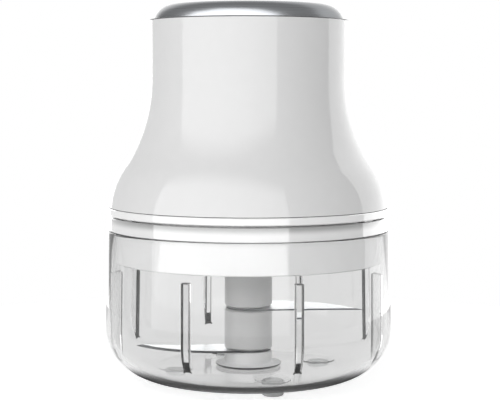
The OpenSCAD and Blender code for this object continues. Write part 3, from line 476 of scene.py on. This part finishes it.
def finish(name, dark, light, roughness, grain, depth, metallic=0.0, stretch=(1, 1, 1), edge=0.0, coat=0.0):
    """A finish whose two close colours, gloss and relief follow one pattern of that grain and depth in mm.
    stretch multiplies the pattern's fineness along x, y and z, edge is how far its corners look round, and
    coat is the weight of a clear gloss over it. The roughness varies by SPREAD of itself."""
    made, tree, skin, place = shader(name)
    scaled = add(tree, "ShaderNodeVectorMath", {0: place, 1: [s / (grain * MM) for s in stretch]},
                 operation="MULTIPLY")
    pattern = add(tree, "ShaderNodeTexNoise", {"Vector": scaled.outputs[0], "Scale": 1, "Detail": 2})
    mixed = add(tree, "ShaderNodeMix", {0: pattern.outputs["Fac"], 6: linear(dark), 7: linear(light)},
                data_type="RGBA")
    polish = add(tree, "ShaderNodeMapRange", {"Value": pattern.outputs["Fac"],
                                              "To Min": roughness * (1 - SPREAD),
                                              "To Max": roughness * (1 + SPREAD)})
    relief = add(tree, "ShaderNodeBump", {"Height": pattern.outputs["Fac"], "Strength": 1,
                                          "Distance": depth * MM})
    if edge:
        worn = add(tree, "ShaderNodeBevel", {"Radius": edge * MM}, samples=4)
        tree.links.new(worn.outputs[0], relief.inputs["Normal"])
    tree.links.new(mixed.outputs[2], skin.inputs["Base Color"])
    tree.links.new(polish.outputs[0], skin.inputs["Roughness"])
    tree.links.new(relief.outputs[0], skin.inputs["Normal"])
    skin.inputs["Metallic"].default_value = metallic
    skin.inputs["Coat Weight"].default_value = coat
    return made


def dress(material, *nodes):
    """Gives that finish to solids of the CAD model."""
    for name in nodes:
        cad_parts[name].material_slots[0].material = material


# Stainless steel off the lathe: bright, with fine rings around it that stretch each highlight.
turned_steel = finish("turned_steel", "#A6A8AA", "#C6C8CA", 0.22, 0.3, 0.002, 1.0, (0.05, 0.05, 1))
dress(turned_steel, "pivot_pin")

# Natural nylon: a warm milky white with a waxy sheen.
natural_nylon = finish("natural_nylon", "#E4E1D6", "#EFEDE4", 0.38, 1.2, 0.004)
dress(natural_nylon, "pivot_bush")

# Blade hub -------------------------------------------------------------------------------------------
# A moulded column of grey ABS, with a flange at its foot and two grooves that hold the blades. It drops over
# the pivot, and has a hexagonal socket for the drive at its top.

# Satin ABS: light grey, with the fine even grain of a spark-eroded mould that softens its highlights.
# Painted shade makes it darker towards its top, from SHADE_LOW_Z to SHADE_HIGH_Z, under the lid, and painted
# light makes it paler below the lower blade. The rim of its flange, all that is under the flange's top face,
# is painted dark as shade.
FLANGE_H, TOP_FACE = 1, 0.03
FLANGE_TOP_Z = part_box("blade_hub")[0][2] / MM + FLANGE_H
GROOVE_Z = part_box("lower_blade")[0][2] / MM
SHADE_LOW_Z, SHADE_HIGH_Z = 12, 40
satin_abs = finish("satin_grey_abs", "#CDCDCD", "#D5D5D5", 0.3, 0.25, 0.003, edge=0.25)
tree = satin_abs.node_tree
skin = tree.nodes["Principled BSDF"]
height = add(tree, "ShaderNodeSeparateXYZ", {0: add(tree, "ShaderNodeTexCoord").outputs["Object"]})
# Painted shade, darker towards the top.
raised = add(tree, "ShaderNodeMapRange", {"Value": height.outputs["Z"], "From Min": SHADE_LOW_Z * MM,
                                          "From Max": SHADE_HIGH_Z * MM}, interpolation_type="SMOOTHSTEP")
plain = skin.inputs["Base Color"].links[0].from_socket
above = add(tree, "ShaderNodeMix", {0: raised.outputs[0], 6: plain, 7: linear("#989898")},
            data_type="RGBA")
# Painted light, paler below the lower blade.
low = add(tree, "ShaderNodeMath", {0: height.outputs["Z"], 1: GROOVE_Z * MM}, operation="LESS_THAN")
body = add(tree, "ShaderNodeMix", {0: low.outputs[0], 6: above.outputs[2], 7: linear("#F4F4F4")},
           data_type="RGBA")
# Painted shade on the flange's rim.
under = add(tree, "ShaderNodeMath", {0: height.outputs["Z"], 1: (FLANGE_TOP_Z - TOP_FACE) * MM},
            operation="LESS_THAN")
painted_dark_rim = add(tree, "ShaderNodeMix", {0: under.outputs[0], 6: body.outputs[2], 7: linear("#1E1E1F")},
               data_type="RGBA")
tree.links.new(painted_dark_rim.outputs[2], skin.inputs["Base Color"])
dress(satin_abs, "blade_hub")

# Blades ----------------------------------------------------------------------------------------------
# Two blades stamped from stainless sheet and ground, set into the hub's grooves at different heights on
# opposite sides.

# Stainless steel sheet, ground along the blade: nearly white where it faces the light, with fine streaks.
# The sheared edge all round it, which doesn't lie flat, is rougher, and coloured dark as painted shade.
ground_steel = finish("ground_steel", "#EEEFF0", "#FAFBFC", 0.3, 0.25, 0.0003, 1.0, (0.04, 1, 1))
sheared_edge = finish("sheared_steel_edge", "#3E4042", "#5A5C5E", 0.4, 0.2, 0.004, 1.0, (1, 1, 0.2))

# The blades are 0.5 mm thick, where the solids are 1.2 mm for their strength and collision.
GROUND_OFF, FLAT = 0.35, 0.97


def ground_thin(node):
    """A copy of the stamped blade, ground off equally above and below, with the sheared edge in painted
    shade.
    """
    bm = bmesh.new()
    bm.from_mesh(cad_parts[node].data)
    bmesh.ops.remove_doubles(bm, verts=bm.verts, dist=0.001 * MM)
    bmesh.ops.dissolve_limit(bm, angle_limit=radians(1), verts=bm.verts, edges=bm.edges)
    middle = sum(v.co.z for v in bm.verts) / len(bm.verts)
    for v in bm.verts:
        v.co.z += GROUND_OFF * MM * (1 if v.co.z < middle else -1)
    # The edge faces take the painted dark shade.
    for face in bm.faces:
        if abs(face.normal.z) < FLAT:
            face.material_index = 1
    return bm


shiny_blades = bpy.data.collections.new("shiny_blades")
for node in ("lower_blade", "upper_blade"):
    blade = piece("ground_" + node, ground_thin(node), ground_steel, "blades", sharp=15)
    blade.data.materials.append(sheared_edge)
    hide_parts(node)
    shiny_blades.objects.link(blade)

# A light low down behind, for what the flat steel mirrors towards the front, in metres as in the studio.
# Light linking keeps it to the blades, and without importance sampling it reaches them through the bowl.
blade_glint = softbox("blade_glint", 180, 1.05, 1.3, 0.02, 0.42, 4.0, diffuse=False)
blade_glint.light_linking.receiver_collection = shiny_blades
blade_glint.data.cycles.use_multiple_importance_sampling = False

# Lid -------------------------------------------------------------------------------------------------
# White ABS, moulded in one piece and polished. Its skirt fits into the bowl, and its flange rests on the
# bowl's rim. Three keyways in the well above take the motor head.

# Polished ABS: a clean white skin, glossy as the mould, with a faint unevenness 3 mm wide. Painted shade
# darkens its top SHADE_H, under the motor head.
SHADE_H = 3.2
lid_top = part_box("lid")[1][2]
lid_abs = finish("polished_white_abs_lid", "#EFEFEF", "#F4F4F4", 0.07, 3.0, 0.002, edge=0.2, coat=1.0)
tree = lid_abs.node_tree
skin = tree.nodes["Principled BSDF"]
skin.inputs["Coat IOR"].default_value = 1.75
skin.inputs["Coat Roughness"].default_value = 0.05
height = add(tree, "ShaderNodeSeparateXYZ", {0: add(tree, "ShaderNodeTexCoord").outputs["Object"]})
# Painted shade under the motor head's ring, over the top SHADE_H.
shade = add(tree, "ShaderNodeMapRange", {"Value": height.outputs["Z"], "From Min": lid_top - SHADE_H * MM,
                                         "From Max": lid_top}, interpolation_type="SMOOTHERSTEP")
plain = skin.inputs["Base Color"].links[0].from_socket
shaded = add(tree, "ShaderNodeMix", {0: shade.outputs[0], 6: plain, 7: linear("#9C9C9C")},
             data_type="RGBA")
tree.links.new(shaded.outputs[2], skin.inputs["Base Color"])
dress(lid_abs, "lid")

# Lid gasket ------------------------------------------------------------------------------------------
# A moulded ring of silicone rubber, pressed into a groove under the lid's flange, which seals lid and bowl.
# It stays in the lid when that is lifted.

# Silicone rubber: a soft grey white that scatters light, matt with a faint bloom.
gasket_silicone = finish("grey_silicone", "#D2D4D5", "#DCDEDF", 0.5, 0.8, 0.01)
dress(gasket_silicone, "lid_gasket")

# Base cover ------------------------------------------------------------------------------------------
# The floor of the motor head: a white ABS disc whose rim shows as a ring between lid and housing. It has
# three keys under it, bosses for the chassis and the circuit board, and is held by three screws.

# The same polished ABS, painted whiter as painted light for its catch-light, with a lacquer that keeps it
# bright.
ring_abs = finish("polished_white_abs_ring", "#FBFBFB", "#FEFEFE", 0.07, 3.0, 0.002, edge=0.25, coat=1.0)
ring_abs.node_tree.nodes["Principled BSDF"].inputs["Coat IOR"].default_value = 1.6
dress(ring_abs, "base_cover")

# Screws ----------------------------------------------------------------------------------------------
# Rolled and zinc-plated steel screws. They hold the base cover, chassis, motor, circuit board and switch
# deck, and three longer ones guide the button.

# Zinc plating on rolled steel: a dark steel grey with a fine turned grain.
screw_steel = finish("plated_screw_steel", "#8C8E90", "#A8AAAC", 0.3, 0.3, 0.004, 1.0, (0.3, 0.3, 1), 0.1)
dress(screw_steel, "base_screws", "chassis_screws", "motor_screws", "board_screws", "deck_screws",
      "button_screws")

# Gear train ------------------------------------------------------------------------------------------
# A planetary reduction in a glass-filled nylon case: a brass sun pinion drives three nylon planets, whose
# steel carrier turns the output shaft through a bronze bush and a rubber seal to the drive coupling.

# Glass-filled nylon: black, with a slightly rough skin from the fibres under it.
filled_nylon = finish("glass_filled_nylon", "#161719", "#232527", 0.45, 0.4, 0.008, edge=0.15)
dress(filled_nylon, "gear_case", "drive_coupling")

# Sintered bronze: brown gold, dulled by fine open pores full of oil.
sintered_bronze = finish("sintered_bronze", "#7C5A34", "#B98E58", 0.4, 0.2, 0.006, 1.0)
dress(sintered_bronze, "output_bush")

# Nitrile rubber: black and dull.
seal_rubber = finish("nitrile_rubber", "#101112", "#1B1C1D", 0.65, 0.5, 0.01)
dress(seal_rubber, "shaft_seal")

dress(turned_steel, "output_shaft", "planet_carrier")

# Acetal: cream white, hard and slippery looking.
gear_acetal = finish("moulded_acetal", "#E2DFD2", "#ECE9DE", 0.3, 0.9, 0.003, edge=0.1)
dress(gear_acetal, "planet_gear_1", "planet_gear_2", "planet_gear_3")

# Hobbed brass: yellow, with cutter marks across the teeth.
cut_brass = finish("cut_brass", "#B8903F", "#D7B468", 0.24, 0.25, 0.004, 1.0, (1, 1, 0.1))
dress(cut_brass, "sun_pinion")

# Motor -----------------------------------------------------------------------------------------------
# A small brushed direct-current motor: a plated steel can with two magnets around a wound armature, and a
# nylon cap that holds the brushes. Two screws from the gear case hold it.

# Zinc plating on drawn steel: pale grey, with faint draw lines along the can.
plated_can = finish("zinc_plated_steel", "#A9ACAE", "#C4C7C9", 0.32, 0.8, 0.003, 1.0, (1, 1, 0.08), 0.2)
dress(plated_can, "motor_can", "battery_strap")

# Ferrite: a dark grey ceramic with a dry, grainy face.
ferrite = finish("ferrite_ceramic", "#242426", "#343437", 0.6, 0.3, 0.01)
dress(ferrite, "motor_magnets")
dress(sintered_bronze, "motor_brushes", "motor_bushes")
dress(filled_nylon, "motor_endcap")

# Enamelled copper wire in tight turns 0.4 mm apart, glossy under its varnish, with painted shade between the
# turns.
WIRE_PITCH = 0.4
wound_copper, tree, skin, place = shader("enamelled_copper")
turns = add(tree, "ShaderNodeTexWave", {"Vector": place, "Scale": 2 * pi / (20 * WIRE_PITCH * MM),
                                        "Distortion": 0.6, "Detail": 1}, bands_direction="Z")
shade = add(tree, "ShaderNodeMix", {0: turns.outputs["Fac"], 6: linear("#5A2A12"), 7: linear("#B4662F")},
            data_type="RGBA")
tree.links.new(shade.outputs[2], skin.inputs["Base Color"])
ridges = add(tree, "ShaderNodeBump", {"Height": turns.outputs["Fac"], "Distance": 0.1 * MM})
tree.links.new(ridges.outputs[0], skin.inputs["Normal"])
skin.inputs["Metallic"].default_value = 0.8
skin.inputs["Roughness"].default_value = 0.25
dress(wound_copper, "motor_armature")

# Chassis and cells -----------------------------------------------------------------------------------
# A moulded chassis under the motor carries two lithium cells upright beside it, joined by a nickel strap
# across their tops.

# Recycled ABS: a middle grey with a matt, slightly mottled skin.
chassis_abs = finish("moulded_grey_abs", "#5C5E61", "#686A6D", 0.4, 0.6, 0.006, edge=0.2)
dress(chassis_abs, "chassis")

# Heat-shrunk film: dark green and glossy, with fine wrinkles round the cell.
shrink_film = finish("shrink_sleeve_film", "#17574A", "#1F6A5B", 0.18, 2.5, 0.05, 0.0, (0.4, 0.4, 1))
dress(shrink_film, "battery_left", "battery_right")

# Circuit board ---------------------------------------------------------------------------------------
# A small charging board of glass-fibre laminate, screwed to two posts at the back. Its pressed steel socket
# stands behind the port in the housing.

# Solder mask over copper: green, lighter along the tracks, which run TRACK_PITCH apart. What stands on it
# is dark epoxy.
SCREW_HEAD, TRACK_PITCH, TRACK_W = 1.0, 1.0, 0.06
board_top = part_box("board_screws")[1][2] / MM - SCREW_HEAD
solder_mask, tree, skin, place = shader("solder_mask_board")
tracks = add(tree, "ShaderNodeTexBrick", {"Vector": place, "Scale": 1 / (4 * TRACK_PITCH * MM),
                                          "Row Height": 0.25, "Mortar Size": TRACK_W,
                                          "Color1": linear("#12442B"), "Color2": linear("#164D31"),
                                          "Mortar": linear("#2C7A52")})
height = add(tree, "ShaderNodeSeparateXYZ", {0: place})
above = add(tree, "ShaderNodeMath", {0: height.outputs["Z"], 1: board_top * MM}, operation="GREATER_THAN")
skin_tone = add(tree, "ShaderNodeMix", {0: above.outputs[0], 6: tracks.outputs["Color"],
                                        7: linear("#1A1A1C")}, data_type="RGBA")
tree.links.new(skin_tone.outputs[2], skin.inputs["Base Color"])
skin.inputs["Roughness"].default_value = 0.3
dress(solder_mask, "circuit_board")
dress(turned_steel, "charge_socket")

# Motor housing ---------------------------------------------------------------------------------------
# The white ABS shell of the motor head, moulded in one piece and polished. Its outline is a full curve
# above the base ring that runs into a hollow one under the straight neck, with a thin lip at the top.

shell_low, shell_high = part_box("motor_housing")
SHELL_WALL, SHELL_ROUND, LIP, LINE, SPIGOT_H = 2.2, 0.2, 1, 0.35, 1.6
FLARE_R, FLARE_X = 31.2, 16.45
WAIST_R, NECK_R = 48.6, 33.45
CURVE_STEPS = 24
BASE_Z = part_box("base_cover")[0][2] / MM + SPIGOT_H
RING_TOP_Z = shell_low[2] / MM
TOP_Z = shell_high[2] / MM
DECK_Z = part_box("switch_deck")[0][2] / MM

# The same polished ABS, from another batch and a shade greyer than the lid.
white_plastic = finish("polished_white_abs_shell", "#EAEAEA", "#EDEDED", 0.06, 4.0, 0.0015)

# Dark grey, matt bands along its two edges, a painted shadow for the gaps to the button and to the ring. The
# upper one is LINE high, and the lower one is the rounded outer edge of the foot.
painted_gap_shadow = finish("painted_gap_shadow_band", "#3A3B3C", "#48494A", 0.5, 0.5, 0.004)

waist_x = NECK_R + WAIST_R
waist_z = BASE_Z + sqrt((WAIST_R + FLARE_R) ** 2 - (waist_x - FLARE_X) ** 2)
turn = degrees(atan2(waist_z - BASE_Z, waist_x - FLARE_X))


def foot_angle(inset):
    """How far up the flare's curve the shell starts, in degrees, for its outer face or an inset one."""
    return degrees(asin((RING_TOP_Z - BASE_Z) / (FLARE_R - inset)))


def shell_outline(outline, inset, up=True):
    """Draws the housing's curve, moved inwards by inset: up from its foot, or down from its waist."""
    if up:
        outline.to((FLARE_X + (FLARE_R - inset) * cos(radians(foot_angle(inset))), RING_TOP_Z))
        outline.arc(FLARE_X, BASE_Z, turn - foot_angle(inset), CURVE_STEPS)
        return outline.arc(waist_x, waist_z, -turn, CURVE_STEPS)
    outline.to((NECK_R - inset, waist_z)).arc(waist_x, waist_z, turn, CURVE_STEPS)
    return outline.arc(FLARE_X, BASE_Z, foot_angle(inset) - turn, CURVE_STEPS)


inner_foot = FLARE_X + (FLARE_R - SHELL_WALL) * cos(radians(foot_angle(SHELL_WALL)))
outline = shell_outline(Outline(inner_foot, RING_TOP_Z), 0)
outline.to((NECK_R, TOP_Z - LINE), (NECK_R, TOP_Z), (NECK_R - LIP, TOP_Z), (NECK_R - LIP, DECK_Z),
           (NECK_R - SHELL_WALL, DECK_Z))
shell_outline(outline, SHELL_WALL, up=False).soften(SHELL_ROUND)
bm = outline.spin()
outer_foot = inner_foot + 1.5
# The two edge bands take the painted gap shadow.
for face in bm.faces:
    middle = face.calc_center_median() / MM
    if middle.z > TOP_Z - LINE or (middle.z < RING_TOP_Z + SHELL_ROUND and middle.xy.length > outer_foot):
        face.material_index = 1
housing = piece("housing_shell", bm, white_plastic, "head")
housing.data.materials.append(painted_gap_shadow)

# The charging port at the back: a slot through the wall, in a shallow recess that the plug's flap fills.
# Both are cut from PORT_NEAR to PORT_FAR, the recess only as deep as FLAP.
PORT_W, PORT_H, PORT_GAP, PLUG_BORDER, FLAP, PORT_SIDES = 9, 3.2, 0.4, 2.3, 1.15, 48
PORT_NEAR, PORT_FAR = 38, 52
plug_low, plug_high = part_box("charge_plug")
PORT_Z = (plug_low[2] + plug_high[2]) / 2 / MM


def slot_bar(border):
    """A bar along y with a slot's round-ended section, as wide as the port and its border."""
    bm = bmesh.new()
    half = PORT_H / 2 + border
    bmesh.ops.create_circle(bm, cap_ends=True, radius=half * MM, segments=PORT_SIDES,
                            matrix=Matrix.Rotation(pi / 2, 4, "X"))
    for v in bm.verts:
        if abs(v.co.x) > 0.001 * MM:
            v.co.x += (PORT_W / 2 + border - half) * MM * (1 if v.co.x > 0 else -1)
    bmesh.ops.translate(bm, verts=bm.verts, vec=(0, PORT_NEAR * MM, PORT_Z * MM))
    drawn = bmesh.ops.extrude_face_region(bm, geom=bm.faces[:])["geom"]
    bmesh.ops.translate(bm, verts=[g for g in drawn if isinstance(g, bmesh.types.BMVert)],
                        vec=(0, (PORT_FAR - PORT_NEAR) * MM, 0))
    bmesh.ops.recalc_face_normals(bm, faces=bm.faces)
    return bm


recess = piece("recess", slot_bar(PLUG_BORDER), white_plastic, "head")
core = shell_outline(Outline(0, RING_TOP_Z), FLAP).to((0, waist_z)).spin()
combine(recess, core, "DIFFERENCE")
bm = bmesh.new()
bm.from_mesh(recess.data)
combine(housing, bm, "DIFFERENCE")
combine(housing, slot_bar(PORT_GAP), "DIFFERENCE")
bpy.data.objects.remove(recess)
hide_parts("motor_housing")

# Charging plug ---------------------------------------------------------------------------------------
# A stopper of white silicone rubber, pushed into the charging port at the back. It is moulded in one piece
# with the flap that fills the recess.

# Soft white silicone: matt beside the polished shell.
plug_silicone = finish("white_silicone", "#E6E6E6", "#EDEDED", 0.45, 0.8, 0.006, edge=0.2)
dress(plug_silicone, "charge_plug")

# Switch ----------------------------------------------------------------------------------------------
# A grey deck closes the neck and carries the switch, a coil spring and the guide screws. The button's
# white base slides on the screws and pushes the red plunger.

dress(chassis_abs, "switch_deck")
dress(filled_nylon, "switch_body")

# The coil spring is the solid's own shape, on a mesh of its own.
bm = bmesh.new()
bm.from_mesh(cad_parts["button_spring"].data)
bmesh.ops.remove_doubles(bm, verts=bm.verts, dist=0.001 * MM)
spring = piece("coil_spring", bm, turned_steel, "head")
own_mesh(spring)
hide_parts("button_spring")

# Coloured ABS: a small red plunger with a moulded gloss.
red_abs = finish("moulded_red_abs", "#A51F1B", "#B82A24", 0.3, 0.4, 0.003)
dress(red_abs, "switch_plunger")
dress(white_plastic, "button_base")

# Button ----------------------------------------------------------------------------------------------
# A shallow dome of spun aluminium, satin finished, that covers the whole top. It is pressed onto the white
# base, and goes down 2 mm with it.

# Against the solid, the crown is lower by CROWN_DROP and the shoulder is rounder, a roll of CAP_ROLL degrees
# with a radius of CAP_CORNER.
cap_low, cap_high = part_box("button_cap")
CAP_R = cap_high[0] / MM
CAP_SKIN, CAP_CORNER, CAP_ROLL, ROLL_STEPS = 0.8, 7, 80, 16
CROWN_DROP, CROWN_STEPS, EDGE_SUNK = 0.3, 8, 1.9
CAP_EDGE_Z = TOP_Z - EDGE_SUNK

# Spun aluminium under clear lacquer, with rings round its middle, too fine to see one by one and drawn 0.5
# mm apart, that blur the edges of what it mirrors. Its dark silver, darker than aluminium, is a painted
# reflection of dark surroundings.
RING_PITCH = 0.5
satin_metal, tree, skin, place = shader("satin_spun_aluminium")
flat = add(tree, "ShaderNodeVectorMath", {0: place, 1: (1, 1, 0)}, operation="MULTIPLY")
reach = add(tree, "ShaderNodeVectorMath", {0: flat.outputs[0]}, operation="LENGTH")
rings = add(tree, "ShaderNodeTexNoise", {"W": reach.outputs["Value"], "Scale": 1 / (RING_PITCH * MM),
                                         "Detail": 2}, noise_dimensions="1D")
# Painted reflection: a silver darker than aluminium.
silver = add(tree, "ShaderNodeMix", {0: rings.outputs["Fac"], 6: linear("#646567"), 7: linear("#6D6F71")},
             data_type="RGBA")
gloss = add(tree, "ShaderNodeMapRange", {"Value": rings.outputs["Fac"], "To Min": 0.24, "To Max": 0.32})
grooves = add(tree, "ShaderNodeBump", {"Height": rings.outputs["Fac"], "Distance": 0.002 * MM})
tree.links.new(silver.outputs[2], skin.inputs["Base Color"])
tree.links.new(gloss.outputs[0], skin.inputs["Roughness"])
tree.links.new(grooves.outputs[0], skin.inputs["Normal"])
skin.inputs["Metallic"].default_value = 1
skin.inputs["Specular Tint"].default_value = linear("#CCCCCC")

outline = Outline(CAP_R - CAP_SKIN, cap_low[2] / MM).to((CAP_R, cap_low[2] / MM), (CAP_R, CAP_EDGE_Z))
outline.arc(CAP_R - CAP_CORNER, CAP_EDGE_Z, CAP_ROLL, ROLL_STEPS)
edge_r = outline.end.co.x / MM
edge_z = outline.end.co.z / MM
crown = cap_high[2] / MM - CROWN_DROP - edge_z
for i in range(1, CROWN_STEPS + 1):
    part = 1 - i / CROWN_STEPS
    outline.to((edge_r * part, edge_z + crown * (1 - part * part)))
cap = piece("metal_button", outline.spin(), satin_metal, "button")
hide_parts("button_cap")

# Bright sheets high in front, narrower upwards, for the rounded highlight that polished metal alone shows.
# Each has its lower and upper edge and its width in metres, and light linking keeps them to the button.
GLINT_AZIMUTH, GLINT_DISTANCE, GLINT_RADIANCE = -22.5, 1.1, 6.5
shiny_metal = bpy.data.collections.new("shiny_metal")
shiny_metal.objects.link(cap)
for bottom_z, top_z, width in ((0.75, 1.6, 4.8), (1.6, 2.7, 4.2), (2.7, 3.8, 2.8)):
    glint = softbox("button_glint", GLINT_AZIMUTH, GLINT_DISTANCE, width, bottom_z, top_z, GLINT_RADIANCE,
                    diffuse=False)
    glint.light_linking.receiver_collection = shiny_metal
